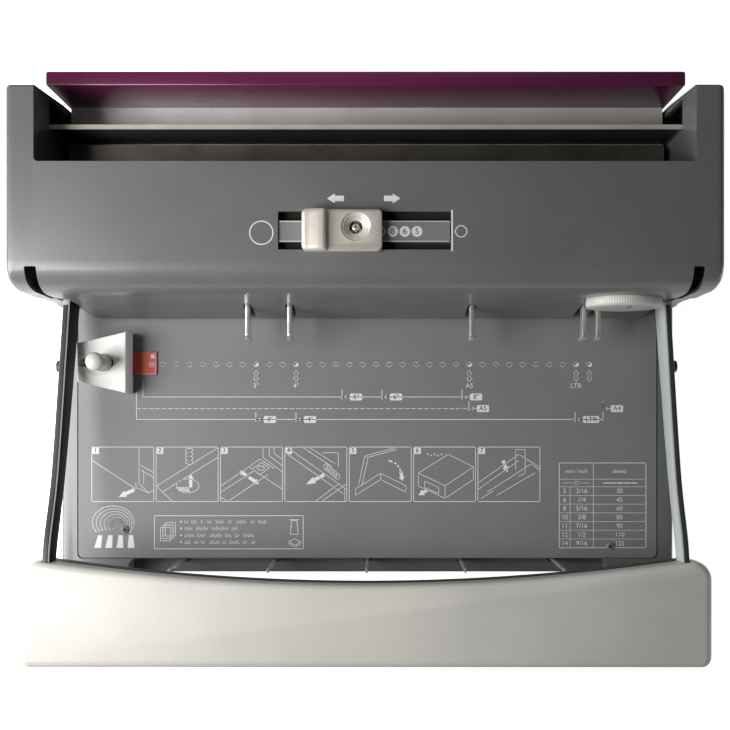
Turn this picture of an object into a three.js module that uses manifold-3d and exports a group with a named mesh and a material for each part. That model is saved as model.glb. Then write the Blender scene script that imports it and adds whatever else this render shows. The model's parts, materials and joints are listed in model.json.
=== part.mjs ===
import * as THREE from "three";
import { mergeVertices } from "three/addons/utils/BufferGeometryUtils.js";
import Module from "manifold-3d";

// A hand-operated double-loop wire binding machine: one lever punches the paper and closes the wire.
// Millimetres. X runs along the machine, Y towards its rear, Z up. The origin is under the middle.

const wasm = await Module();
wasm.setup();

// Overall sizes
const BASE_HALF = 194;
const HEAD_HALF = 195.5;
const GRIP_HALF = 196.5;
const BASE_FRONT = -126.5;
const BASE_REAR = 168;
const BASE_BOTTOM = 4.3;
const TABLE_TOP = 37;
const HEAD_TOP = 140;
const WALL = 2.5;
const GAP = 0.3;

// Punching
const HOLE_COUNT = 34;
const HOLE_PITCH = 25.4 / 3;
const PUNCH_SIZE = 4;
const PUNCH_Y = 52;
const PUNCH_STROKE = 10;
const PULL_PIN_HOLES = [8, 11, 24, 32, 33];

// Handle
const PIVOT_Y = 118;
const PIVOT_Z = 45;
const HANDLE_LIFT = THREE.MathUtils.degToRad(35);
const ARM_IN = 179.6;
const ARM_OUT = 184.1;
const SHAFT_R = 6;
const PUNCH_CRANK = PUNCH_STROKE / Math.sin(HANDLE_LIFT);

// Wire closer
const TROUGH_FRONT = 113.3;
const TROUGH_HALF = 179.8;
const JAW_FRONT = 138.1;
const JAW_THICK = 2.6;
const JAW_TRAVEL = 13;
const CLOSER_CRANK = JAW_TRAVEL / Math.sin(HANDLE_LIFT);

// Wire hooks on the front ledge
const LEDGE_HALF = 152;
const LEDGE_Z = 20;
const LEDGE_REAR = -115.8;
const HOOK_PITCH = 7 * HOLE_PITCH;
const HOOK_Y = -117.5;
const HOOK_TOP = 77;

// Dial, size slider and edge guide
const DIAL = { x: 149.4, z: 98, r: 21.8, front: 36.9, back: 43.5 };
const SLOT = { left: -47.2, right: 46.6, front: 65.3, rear: 86 };
const KNOB = { left: -34, right: 9.3, front: 64, rear: 86.5, top: 149 };
const GUIDE = { left: -178.8, right: -148.7, top: 57.5, knobX: -163, knobY: 7.5 };

const machine = new THREE.Group();

const COLOURS = {
  greyPlastic: [0x7c807e, 0.55, 0],
  darkPlastic: [0x2c2d2e, 0.6, 0],
  purple: [0x5a1c48, 0.3, 0],
  silver: [0xb9b7b0, 0.4, 0.5],
  steel: [0xa9a69f, 0.4, 0.9],
  darkSteel: [0x4a4c4e, 0.5, 0.8],
  zinc: [0xc4c3bf, 0.35, 0.9],
  chrome: [0xd8d8d6, 0.15, 1],
  champagne: [0xb0a492, 0.35, 0.6],
  rubber: [0x1b1b1b, 0.9, 0],
  red: [0xd8553a, 0.5, 0],
};

function toSolid(geometry) {
  const bare = geometry.index ? geometry.toNonIndexed() : geometry.clone();
  bare.deleteAttribute("normal");
  bare.deleteAttribute("uv");
  const merged = mergeVertices(bare, 1e-4);
  const mesh = new wasm.Mesh({
    numProp: 3,
    vertProperties: Float32Array.from(merged.attributes.position.array),
    triVerts: Uint32Array.from(merged.index.array),
  });
  return new wasm.Manifold(mesh);
}

function toGeometry(solid) {
  const mesh = solid.getMesh();
  const geometry = new THREE.BufferGeometry();
  geometry.setAttribute("position", new THREE.BufferAttribute(Float32Array.from(mesh.vertProperties), 3));
  geometry.setIndex(new THREE.BufferAttribute(Uint32Array.from(mesh.triVerts), 1));
  geometry.computeVertexNormals();
  return geometry;
}

// A solid made of shapes added together.
function join(first, ...rest) {
  return rest.reduce((sum, next) => sum.add(next), first);
}

// A solid with shapes cut out of it.
function cut(body, ...tools) {
  return tools.reduce((left, tool) => left.subtract(tool), body);
}

function box(x0, x1, y0, y1, z0, z1) {
  const geometry = new THREE.BoxGeometry(x1 - x0, y1 - y0, z1 - z0);
  geometry.translate((x0 + x1) / 2, (y0 + y1) / 2, (z0 + z1) / 2);
  return toSolid(geometry);
}

// The same box on the left and on the right side.
function boxPair(x0, x1, y0, y1, z0, z1) {
  return join(box(x0, x1, y0, y1, z0, z1), box(-x1, -x0, y0, y1, z0, z1));
}

function roundedRect(x0, x1, y0, y1, radius) {
  const shape = new THREE.Shape();
  shape.moveTo(x0 + radius, y0);
  shape.lineTo(x1 - radius, y0);
  shape.absarc(x1 - radius, y0 + radius, radius, -Math.PI / 2, 0);
  shape.lineTo(x1, y1 - radius);
  shape.absarc(x1 - radius, y1 - radius, radius, 0, Math.PI / 2);
  shape.lineTo(x0 + radius, y1);
  shape.absarc(x0 + radius, y1 - radius, radius, Math.PI / 2, Math.PI);
  shape.lineTo(x0, y0 + radius);
  shape.absarc(x0 + radius, y0 + radius, radius, Math.PI, 1.5 * Math.PI);
  return shape;
}

// A plan outline (X, Y) raised from z0 to z1.
function raisePlan(shape, z0, z1, curveSegments = 4) {
  const geometry = new THREE.ExtrudeGeometry(shape, { depth: z1 - z0, bevelEnabled: false, curveSegments });
  geometry.translate(0, 0, z0);
  return toSolid(geometry);
}

// A side outline (Y, Z) carried along X from x0 to x1.
function sweepSide(shape, x0, x1, curveSegments = 6) {
  const geometry = new THREE.ExtrudeGeometry(shape, { depth: x1 - x0, bevelEnabled: false, curveSegments });
  const turn = new THREE.Matrix4().makeBasis(
    new THREE.Vector3(0, 1, 0), new THREE.Vector3(0, 0, 1), new THREE.Vector3(1, 0, 0));
  geometry.applyMatrix4(turn);
  geometry.translate(x0, 0, 0);
  return toSolid(geometry);
}

function outline(points) {
  return new THREE.Shape(points.map(([a, b]) => new THREE.Vector2(a, b)));
}

// A round bar. axis is "x", "y" or "z"; the other two numbers place it across that axis.
function bar(axis, radius, from, to, a, b, sides = 16) {
  const geometry = new THREE.CylinderGeometry(radius, radius, to - from, sides);
  const middle = (from + to) / 2;
  if (axis === "x") {
    geometry.rotateZ(-Math.PI / 2);
    geometry.translate(middle, a, b);
  } else if (axis === "y") {
    geometry.translate(a, middle, b);
  } else {
    geometry.rotateX(Math.PI / 2);
    geometry.translate(a, b, middle);
  }
  return toSolid(geometry);
}

function addPart(name, solid, colour) {
  const [color, roughness, metalness] = COLOURS[colour];
  const material = new THREE.MeshStandardMaterial({ color, roughness, metalness });
  const mesh = new THREE.Mesh(toGeometry(solid), material);
  mesh.name = name;
  machine.add(mesh);
}

// Left and right copies: build(side) gives the solid for side -1 or +1.
function addPair(name, build, colour) {
  addPart(`${name}_left`, build(-1), colour);
  addPart(`${name}_right`, build(1), colour);
}

// The span between two distances from the middle, on one side.
function span(side, near, far) {
  return side > 0 ? [near, far] : [-far, -near];
}

function holeX(index) {
  return (index - (HOLE_COUNT - 1) / 2) * HOLE_PITCH;
}

// Base

function baseShell() {
  const inner = BASE_HALF - 2.6;
  const roofBottom = 33;
  const pocketFloor = TABLE_TOP - 1.6;
  const outer = raisePlan(roundedRect(-BASE_HALF, BASE_HALF, BASE_FRONT, BASE_REAR, 6), BASE_BOTTOM, TABLE_TOP);
  const hollow = raisePlan(roundedRect(-inner, inner, -113.2, BASE_REAR - 2.6, 2), 4, roofBottom);
  const underLedge = box(-inner, inner, BASE_FRONT + 2.6, -109, 4, LEDGE_Z - 2.6);
  const horns = boxPair(LEDGE_HALF + 2.6, inner, BASE_FRONT + 2.6, -113.2, 4, roofBottom);
  const ledgeCut = box(-LEDGE_HALF, LEDGE_HALF, BASE_FRONT - 2, LEDGE_REAR, LEDGE_Z, TABLE_TOP + 1);
  const tablePocket = box(-184.1, 184.1, LEDGE_REAR, 45, pocketFloor, TABLE_TOP + 1);
  const mechanismWindow = box(-190, 190, 44.2, 162, roofBottom - 1, TABLE_TOP + 1);
  const drawerDoor = box(inner - 2, BASE_HALF + 2, 33, 73, 5.8, 31.3);
  let shell = cut(outer, hollow, underLedge, horns, ledgeCut, tablePocket, mechanismWindow, drawerDoor);
  for (let i = -2; i <= 2; i += 1) {
    shell = cut(shell, bar("z", 1.5, LEDGE_Z - 4, LEDGE_Z + 1, i * HOOK_PITCH, HOOK_Y, 10));
  }
  return shell;
}

addPart("base_shell", baseShell(), "greyPlastic");
addPart("base_bottom_plate", raisePlan(roundedRect(-191.1, 191.1, -123.6, 165.1, 3), BASE_BOTTOM, 5.5), "steel");
addPart("paper_table", raisePlan(roundedRect(-183.8, 183.8, -115.5, 43.9, 3), TABLE_TOP - 1.3, TABLE_TOP),
  "greyPlastic");
for (const [row, y] of [["front", -105], ["rear", 145]]) {
  addPair(`rubber_foot_${row}`, (side) => bar("z", 9, 0, BASE_BOTTOM - GAP, side * 165, y), "rubber");
}
addPair("table_screw", (side) => bar("z", 2.6, TABLE_TOP + GAP, TABLE_TOP + 1.4, side * 154, side < 0 ? -97.4 : -108),
  "chrome");

// Head covers

function coverSide(inset) {
  const side = new THREE.Shape();
  side.moveTo(TROUGH_FRONT - inset, HEAD_TOP - inset);
  side.lineTo(57, HEAD_TOP - inset);
  side.quadraticCurveTo(44 + inset, HEAD_TOP - inset, 43 + inset, 122);
  side.lineTo(42.3 + inset, 85);
  side.lineTo(36.2 + inset, 42.5);
  side.lineTo(36.2 + inset, TABLE_TOP + (inset > 0 ? -2 : GAP));
  side.lineTo(TROUGH_FRONT - inset, TABLE_TOP + (inset > 0 ? -2 : GAP));
  return side;
}

// Plan outline of the head: straight rear, front corners rounded back.
function coverPlan(inset) {
  const half = HEAD_HALF - inset;
  const plan = new THREE.Shape();
  plan.moveTo(-half, 120);
  plan.lineTo(-half, 44 + inset);
  plan.quadraticCurveTo(-half, 37 + inset, -half + 12, 36 + inset);
  plan.lineTo(half - 12, 36 + inset);
  plan.quadraticCurveTo(half, 37 + inset, half, 44 + inset);
  plan.lineTo(half, 120);
  return plan;
}

function capSide(inset) {
  return outline([
    [TROUGH_FRONT - 1, HEAD_TOP - inset],
    [154.5 - inset, HEAD_TOP - inset],
    [159.2 - inset, 82],
    [160.2 - inset, TABLE_TOP + GAP - inset],
    [TROUGH_FRONT - 1, TABLE_TOP + GAP - inset],
  ]);
}

// The hollow end of the head beside the trough, with the slot that the moving jaw's end runs in.
function endCap(side) {
  const outer = sweepSide(capSide(0), ...span(side, TROUGH_HALF, HEAD_HALF));
  const hollow = sweepSide(capSide(WALL), ...span(side, TROUGH_HALF + WALL, HEAD_HALF - WALL));
  const jawSlot = box(...span(side, 170, TROUGH_HALF + WALL + 1), JAW_FRONT - 0.8, 155, 60, 111.5);
  return cut(outer, hollow, jawSlot);
}

function headCover() {
  const outer = sweepSide(coverSide(0), -HEAD_HALF, HEAD_HALF).intersect(raisePlan(coverPlan(0), 0, 160));
  const inner = sweepSide(coverSide(WALL), -HEAD_HALF, HEAD_HALF)
    .intersect(raisePlan(coverPlan(WALL), 0, 160));
  const armSlots = boxPair(178.6, 185.1, 20, 56.4, 30, 150);
  const throat = box(-178.7, 178.7, 20, 48, 30, 42.5);
  const rearOpening = box(-TROUGH_HALF, TROUGH_HALF, 108, 115, 30, 87);
  const capOpenings = boxPair(TROUGH_HALF + WALL, HEAD_HALF - WALL, 108, 116, 35, HEAD_TOP - WALL);
  const sliderSlot = box(SLOT.left, SLOT.right, SLOT.front, SLOT.rear, 130, 150);
  const dialHole = bar("y", DIAL.r + 0.5, 30, 50, DIAL.x, DIAL.z, 32);
  const shell = join(cut(outer, inner), endCap(-1), endCap(1));
  const cheekOpenings = boxPair(170, HEAD_HALF - WALL, 100, 157.4, 30, 71);
  let cover = cut(shell, armSlots, throat, rearOpening, capOpenings, cheekOpenings, sliderSlot, dialHole);
  for (const index of PULL_PIN_HOLES) {
    cover = cut(cover, box(holeX(index) - 1.7, holeX(index) + 1.7, 30, 50, 40, 74.5));
  }
  return cover;
}

function rearPanel() {
  const skin = box(-TROUGH_HALF, TROUGH_HALF, 160.9, BASE_REAR, TABLE_TOP + GAP, 118.4);
  const hollow = box(-TROUGH_HALF + 1.5, TROUGH_HALF - 1.5, 162.4, BASE_REAR - 1.5, 30, 116.9);
  return cut(skin, hollow);
}

addPart("head_cover", headCover(), "greyPlastic");
addPart("rear_panel", rearPanel(), "purple");

// Frame and punching tools

function sideFrame(side) {
  const plate = sweepSide(outline([
    [46.9, 32], [46.9, 100], [60, 120], [108, 120], [108, 72], [158, 72],
    [158, 5.8], [76, 5.8], [76, 32],
  ]), ...span(side, 170, 173));
  return cut(plate, bar("x", 8.4, -200, 200, PIVOT_Y, PIVOT_Z, 24));
}

function shaftBush(side) {
  const [x0, x1] = span(side, 168.5, 174.5);
  return cut(bar("x", 8.1, x0, x1, PIVOT_Y, PIVOT_Z, 24), bar("x", SHAFT_R + GAP, -200, 200, PIVOT_Y, PIVOT_Z, 24));
}

function punchHoles(z0, z1) {
  const half = PUNCH_SIZE / 2 + GAP;
  const cuts = [];
  for (let i = 0; i < HOLE_COUNT; i += 1) {
    cuts.push(box(holeX(i) - half, holeX(i) + half, PUNCH_Y - half, PUNCH_Y + half, z0, z1));
  }
  return cuts;
}

function punchGuide() {
  const flat = box(-169.7, 169.7, 44.4, 59.5, 42.8, 46);
  const flange = box(-160, 160, 44.4, 46.4, 46, 76);
  const pinSlots = PULL_PIN_HOLES.map((i) => box(holeX(i) - 1.7, holeX(i) + 1.7, 40, 50, 64.6, 73.4));
  return cut(join(flat, flange), ...punchHoles(40, 48), ...pinSlots);
}

function punchComb() {
  const back = box(-143, 143, PUNCH_Y - 2, PUNCH_Y + 2, 48, 61.7);
  const half = PUNCH_SIZE / 2;
  const teeth = [];
  for (let i = 0; i < HOLE_COUNT; i += 1) {
    teeth.push(box(holeX(i) - half, holeX(i) + half, PUNCH_Y - half, PUNCH_Y + half, 33.8, 50));
  }
  return join(back, ...teeth);
}

// The beam presses the punches; a forked cheek at each end reaches back to its crank pin.
function punchBeam() {
  const pinY = PIVOT_Y - PUNCH_CRANK;
  const beam = box(-166, 166, 46.8, 57.2, 62, 84);
  const cheek = outline([
    [57, 62], [57, 84], [112, 72], [112, PIVOT_Z + 3.2], [pinY - 4, PIVOT_Z + 3.2],
    [pinY - 4, PIVOT_Z - 3.2], [112, PIVOT_Z - 3.2], [112, 38.2], [90, 38.2], [80, 62],
  ]);
  const cheeks = join(sweepSide(cheek, 163, 166), sweepSide(cheek, -166, -163));
  const pinSlots = PULL_PIN_HOLES.map((i) => box(holeX(i) - 1.8, holeX(i) + 1.8, 45, 50, 60, 74));
  return cut(join(beam, cheeks), ...pinSlots);
}

function pullPin(index) {
  const side = outline([
    [49.4, 65], [49.4, 73], [23.5, 73], [21.2, 72], [20.3, 69.8],
    [20.3, 59], [22.6, 59], [22.6, 65],
  ]);
  return sweepSide(side, holeX(index) - 1.35, holeX(index) + 1.35);
}

addPair("side_frame", sideFrame, "darkSteel");
addPair("shaft_bush", shaftBush, "steel");
addPart("frame_tie_bar", bar("x", 5, -169.7, 169.7, 95, 110, 12), "steel");
addPart("die_plate", cut(box(-169.7, 169.7, 44.3, 66, 33.3, TABLE_TOP), ...punchHoles(30, 40)), "steel");
addPart("punch_guide", punchGuide(), "darkSteel");
addPart("punch_comb", punchComb(), "steel");
addPart("punch_beam", punchBeam(), "darkSteel");
PULL_PIN_HOLES.forEach((index, order) => addPart(`pull_pin_${order + 1}`, pullPin(index), "chrome"));

// Handle

function handleArm(side) {
  const shape = new THREE.Shape();
  shape.moveTo(-150, 96);
  shape.lineTo(-112, 98.5);
  shape.quadraticCurveTo(-56, 78.2, 42, 48);
  shape.lineTo(PIVOT_Y - 4, PIVOT_Z - 13);
  shape.absarc(PIVOT_Y, PIVOT_Z, 13.5, -1.87, 1.2, false);
  shape.lineTo(42, 70.4);
  shape.quadraticCurveTo(-56, 90.2, -106.5, 111.6);
  shape.lineTo(-150, 108.5);
  const arm = sweepSide(shape, ...span(side, ARM_IN, ARM_OUT), 8);
  return cut(arm, bar("x", SHAFT_R + GAP, -200, 200, PIVOT_Y, PIVOT_Z, 24));
}

// Plan outline of the grip: ends squared, rear edge drawn in towards the middle.
function gripPlan(inset) {
  const half = GRIP_HALF - inset;
  const front = -168 + inset;
  const corner = 5 - inset;
  const plan = new THREE.Shape();
  plan.moveTo(-half, front + corner);
  plan.absarc(-half + corner, front + corner, corner, Math.PI, 1.5 * Math.PI);
  plan.lineTo(half - corner, front);
  plan.absarc(half - corner, front + corner, corner, -Math.PI / 2, 0);
  plan.lineTo(half, -118);
  plan.quadraticCurveTo(half, -107.3 - inset, half - 11, -107.3 - inset);
  plan.quadraticCurveTo(90, -121.1 - inset, 0, -121.1 - inset);
  plan.quadraticCurveTo(-90, -121.1 - inset, -half + 11, -107.3 - inset);
  plan.quadraticCurveTo(-half, -107.3 - inset, -half, -118);
  return plan;
}

function gripBody() {
  const outer = raisePlan(gripPlan(0.6), 84, 102.7, 6);
  const hollow = raisePlan(gripPlan(3), 86.5, 104, 6);
  return cut(outer, hollow, boxPair(ARM_IN - 0.5, ARM_OUT + 0.5, -120, -100, 96, 104));
}

function gripCover() {
  const outer = raisePlan(gripPlan(0), 103, 114.5, 6);
  const hollow = raisePlan(gripPlan(2.4), 102, 112.3, 6);
  return cut(outer, hollow, boxPair(ARM_IN - 0.5, ARM_OUT + 0.5, -120, -100, 102, 112.3));
}

// A crank plate on the shaft with a pin on its far end; reach is (Y, Z) from the shaft's axis.
function crank(plateSpan, pinSpan, reachY, reachZ) {
  const angle = Math.atan2(reachZ, reachY);
  const length = Math.hypot(reachY, reachZ);
  const plate = new THREE.Shape();
  plate.absarc(0, 0, 9, Math.PI / 2, 1.5 * Math.PI, false);
  plate.lineTo(length, -4.5);
  plate.absarc(length, 0, 4.5, -Math.PI / 2, Math.PI / 2, false);
  plate.lineTo(0, 9);
  const geometry = new THREE.ExtrudeGeometry(plate,
    { depth: plateSpan[1] - plateSpan[0], bevelEnabled: false, curveSegments: 8 });
  geometry.rotateZ(angle);
  geometry.applyMatrix4(new THREE.Matrix4().makeBasis(
    new THREE.Vector3(0, 1, 0), new THREE.Vector3(0, 0, 1), new THREE.Vector3(1, 0, 0)));
  geometry.translate(plateSpan[0], PIVOT_Y, PIVOT_Z);
  const pin = bar("x", 2.4, ...pinSpan, PIVOT_Y + reachY, PIVOT_Z + reachZ);
  return cut(join(toSolid(geometry), pin), bar("x", SHAFT_R + GAP, -200, 200, PIVOT_Y, PIVOT_Z, 24));
}

addPart("main_shaft", bar("x", SHAFT_R, -186.8, 186.8, PIVOT_Y, PIVOT_Z, 24), "steel");
addPair("handle_arm", handleArm, "darkPlastic");
addPair("arm_bolt", (side) => bar("x", 3.6, ...span(side, ARM_OUT + GAP, ARM_OUT + 2.6), 4.7, 73, 12), "darkSteel");
addPair("punch_crank", (side) => crank(span(side, 158.5, 162), span(side, 160, 166.4), -PUNCH_CRANK, 0), "steel");
addPair("closer_crank", (side) => crank(span(side, 184.5, 186.5), span(side, 185, 190.4), 0, CLOSER_CRANK), "steel");
addPart("grip_body", gripBody(), "darkPlastic");
addPart("grip_cover", gripCover(), "silver");

// Wire closer

function fixedJaw() {
  const side = outline([
    [113.7, 72.5], [115.3, 72.5], [115.3, 84.4], [133.4, 84.4], [133.4, 72.5],
    [135, 72.5], [135, 86], [113.7, 86],
  ]);
  return sweepSide(side, -175.8, 175.8);
}

function movingJaw() {
  const rear = JAW_FRONT + JAW_THICK;
  const pinZ = PIVOT_Z + CLOSER_CRANK;
  const plate = box(-184.4, 184.4, JAW_FRONT, rear, 74.6, 110.6);
  const ends = boxPair(184, 189.2, JAW_FRONT, rear, 74.6, 95);
  const yokes = boxPair(187, 189.2, PIVOT_Y - 7, rear, 53, 78);
  const slots = boxPair(186, 190, PIVOT_Y - 3.1, PIVOT_Y + 3.1, 57.5, pinZ + 3.6);
  return cut(join(plate, ends, yokes), slots);
}

addPart("closer_fixed_jaw", fixedJaw(), "steel");
addPart("closer_floor_plate", box(-177.8, 177.8, 135.3, 160.4, 72.4, 74), "zinc");
addPart("closer_moving_jaw", movingJaw(), "steel");

// Size slider

function sliderKnob() {
  const middleX = -5;
  const middleY = 77;
  const plate = raisePlan(roundedRect(KNOB.left, KNOB.right, KNOB.front, KNOB.rear, 2), HEAD_TOP + GAP, 145.4);
  const ridge = box(KNOB.left, -21, KNOB.front, KNOB.rear, 144, KNOB.top);
  const legs = join(box(-30, 5, 66.1, 68.9, 134.6, 142), box(-30, 5, 82, 84.8, 134.6, 142));
  const sink = new THREE.CylinderGeometry(8, 3.6, 4, 20);
  sink.rotateX(Math.PI / 2);
  sink.translate(middleX, middleY, 143.5);
  const hole = bar("z", 3.6, 130, 150, middleX, middleY);
  return cut(join(plate, ridge, legs), toSolid(sink), hole);
}

function sizeRail() {
  const plate = box(-55, 55, 60, 92, 131, HEAD_TOP - WALL - GAP);
  const strip = box(SLOT.left + GAP, SLOT.right - GAP, 69.7, 81, 137, 139.2);
  const grooves = [box(SLOT.left, SLOT.right, 65.6, 69.4, 134, 145), box(SLOT.left, SLOT.right, 81.5, 85.3, 134, 145)];
  return cut(join(plate, strip), ...grooves);
}

addPart("size_rail", sizeRail(), "greyPlastic");
addPart("size_slider_knob", sliderKnob(), "champagne");
addPart("size_slider_screw", bar("z", 3, HEAD_TOP + GAP, 142.6, -5, 77, 12), "darkSteel");

// Margin-depth dial and the paper stop it sets

addPart("margin_dial", bar("y", DIAL.r, DIAL.front, DIAL.back, DIAL.x, DIAL.z, 40), "silver");
addPart("dial_shaft", bar("y", 2.5, DIAL.back + GAP, 68, DIAL.x, DIAL.z), "steel");

function paperStop() {
  const blade = box(-150, 150, 61, 62.6, 37.5, 41.8);
  const upright = box(DIAL.x - 5, DIAL.x + 5, 61, 62.6, 37.5, 106);
  return cut(join(blade, upright), bar("y", 3, 50, 70, DIAL.x, DIAL.z));
}

addPart("paper_stop", paperStop(), "steel");

// Edge guide

function guidePlan(inset) {
  return outline([
    [GUIDE.left + inset, -4.2 + inset], [GUIDE.right - inset, -11.1 + inset],
    [GUIDE.right - inset, 26.8 - inset], [GUIDE.left + inset, 19.8 - inset],
  ]);
}

function edgeGuide() {
  const outer = raisePlan(guidePlan(0), TABLE_TOP + GAP, GUIDE.top);
  const hollow = raisePlan(guidePlan(2.2), 30, GUIDE.top - 2.6);
  const y0 = GUIDE.knobY - 2.4;
  const slot = raisePlan(roundedRect(-176.4, -157.6, y0, y0 + 4.8, 2.3), 50, 60);
  return cut(outer, hollow, slot);
}

addPart("edge_guide", edgeGuide(), "silver");
addPart("edge_guide_pointer", box(-148.4, -133.6, 0.9, 15.4, TABLE_TOP + GAP, TABLE_TOP + 1.4), "red");
addPart("edge_guide_stud", bar("z", 1.9, TABLE_TOP + GAP, 70, GUIDE.knobX, GUIDE.knobY, 12), "steel");
addPart("edge_guide_knob", cut(
  bar("z", 5.5, GUIDE.top + GAP, 81, GUIDE.knobX, GUIDE.knobY, 20),
  bar("z", 2.3, 50, 71, GUIDE.knobX, GUIDE.knobY, 12)), "silver");

// Wire hooks and waste drawer

addPart("hook_rail", box(-125, 125, HOOK_Y - 3.5, HOOK_Y + 3.5, 13.5, LEDGE_Z - 2.9), "steel");
for (let i = 0; i < 5; i += 1) {
  addPart(`wire_hook_${i + 1}`, bar("z", 1, LEDGE_Z - 2.6, HOOK_TOP, (i - 2) * HOOK_PITCH, HOOK_Y, 10), "chrome");
}

function wasteDrawer() {
  const tray = cut(box(-172, 191.2, 36, 70, 6, 28), box(-170.5, 189.7, 37.5, 68.5, 7.5, 30));
  const front = box(191, BASE_HALF, 33.3, 72.7, 6.1, 31);
  const fingerScoop = bar("x", 8, 192.4, 200, 53, 31, 16);
  return cut(join(tray, front), fingerScoop);
}

addPart("waste_drawer", wasteDrawer(), "darkPlastic");

export default machine;
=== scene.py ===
import json
from math import cos, hypot, pi, radians, sin

import bmesh
import bpy
from mathutils import Matrix, Vector


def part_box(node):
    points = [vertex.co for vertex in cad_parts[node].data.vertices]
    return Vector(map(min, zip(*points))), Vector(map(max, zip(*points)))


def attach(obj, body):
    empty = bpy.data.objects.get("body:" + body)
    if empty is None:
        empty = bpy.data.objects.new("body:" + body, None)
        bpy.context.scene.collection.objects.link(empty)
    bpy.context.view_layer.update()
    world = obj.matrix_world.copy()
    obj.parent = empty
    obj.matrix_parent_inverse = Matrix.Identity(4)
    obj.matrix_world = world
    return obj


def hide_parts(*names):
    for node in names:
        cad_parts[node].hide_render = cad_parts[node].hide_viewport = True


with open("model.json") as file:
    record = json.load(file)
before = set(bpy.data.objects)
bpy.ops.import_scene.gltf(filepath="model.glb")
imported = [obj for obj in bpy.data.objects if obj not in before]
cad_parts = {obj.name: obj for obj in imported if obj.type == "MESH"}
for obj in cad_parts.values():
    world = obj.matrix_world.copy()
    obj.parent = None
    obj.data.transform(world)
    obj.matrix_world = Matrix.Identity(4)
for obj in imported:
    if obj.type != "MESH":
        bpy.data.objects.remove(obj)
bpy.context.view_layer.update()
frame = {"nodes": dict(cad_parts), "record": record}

MM = 0.001
scene = bpy.context.scene


# ---- camera

VIEWPOINT = (9.2, -22.75, 740.0)
FOCAL_PIXELS = 1107.0
FRAME_PIXELS = 730.0
SENSOR = 36.0

camera_data = bpy.data.cameras.new("camera")
camera_data.sensor_width = SENSOR
camera_data.lens = SENSOR * FOCAL_PIXELS / FRAME_PIXELS
camera_data.shift_x = -17 / FRAME_PIXELS
camera_data.shift_y = 47 / FRAME_PIXELS
camera_data.clip_start = 0.01
camera = bpy.data.objects.new("camera", camera_data)
camera.location = Vector(VIEWPOINT) * MM
scene.collection.objects.link(camera)
scene.camera = camera
scene.view_settings.view_transform = "Standard"


# ---- materials

def connect(tree, node, inputs):
    """Fills a node's inputs: an output of another node is linked, and anything else is a constant."""
    for name, value in inputs.items():
        if isinstance(value, bpy.types.NodeSocket):
            tree.links.new(value, node.inputs[name])
        else:
            node.inputs[name].default_value = value


def add_node(tree, kind, inputs, **settings):
    node = tree.nodes.new("ShaderNode" + kind)
    for name, value in settings.items():
        setattr(node, name, value)
    connect(tree, node, inputs)
    return node.outputs


def node_material(name):
    material = bpy.data.materials.new(name)
    material.use_nodes = True
    tree = material.node_tree
    tree.nodes.clear()
    shader = tree.nodes.new("ShaderNodeBsdfPrincipled")
    add_node(tree, "OutputMaterial", {"Surface": shader.outputs["BSDF"]})
    return material, tree, shader


def object_coordinates(tree, scale=(1, 1, 1)):
    where = add_node(tree, "TexCoord", {})["Object"]
    return add_node(tree, "Mapping", {"Vector": where, "Scale": scale})["Vector"]


def noise(tree, vector, scale, detail=3.0, roughness=0.55):
    inputs = {"Vector": vector, "Scale": scale, "Detail": detail, "Roughness": roughness}
    return add_node(tree, "TexNoise", inputs)["Fac"]


def ramp(tree, value, stops):
    node = tree.nodes.new("ShaderNodeValToRGB")
    elements = node.color_ramp.elements
    while len(elements) < len(stops):
        elements.new(0.5)
    for element, (place, colour) in zip(elements, stops):
        element.position = place
        element.color = (*colour, 1.0)
    connect(tree, node, {"Fac": value})
    return node.outputs["Color"]


def level(tree, value, low, high, start=0.0, end=1.0):
    inputs = {"Value": value, "From Min": start, "From Max": end, "To Min": low, "To Max": high}
    return add_node(tree, "MapRange", inputs)["Result"]


def mixed(tree, factor, a, b, data_type="RGBA", blend_type="MIX"):
    inputs = {"Factor": factor, "A": a, "B": b}
    return add_node(tree, "Mix", inputs, data_type=data_type, blend_type=blend_type)["Result"]


def bump(tree, height, strength, distance):
    return add_node(tree, "Bump", {"Height": height, "Strength": strength, "Distance": distance})["Normal"]


def scaled(colour, factor):
    return tuple(min(1.0, c * factor) for c in colour)


def moulded(name, colour, roughness=0.5, grain=0.12, speckle=0.16, coat=0.0, grain_scale=1300, specular=0.5):
    """Moulded or lacquered plastic: slow colour drift, fine speckle and a fine moulded grain."""
    material, tree, shader = node_material(name)
    where = object_coordinates(tree)
    fine = noise(tree, where, grain_scale, 2.0)
    slow = noise(tree, where, 14.0, 3.0)
    speckled = ramp(tree, fine, [(0.3, scaled(colour, 1 - speckle)), (0.7, scaled(colour, 1 + speckle))])
    drift = ramp(tree, slow, [(0.3, (0.93, 0.93, 0.94)), (0.7, (1.05, 1.05, 1.04))])
    connect(tree, shader, {
        "Base Color": mixed(tree, 1.0, speckled, drift, blend_type="MULTIPLY"),
        "Roughness": level(tree, slow, roughness - 0.05, roughness + 0.06),
        "Specular IOR Level": specular,
        "Coat Weight": coat,
        "Coat Roughness": 0.2,
        "Normal": bump(tree, fine, grain, 0.00006),
    })
    return material


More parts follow.
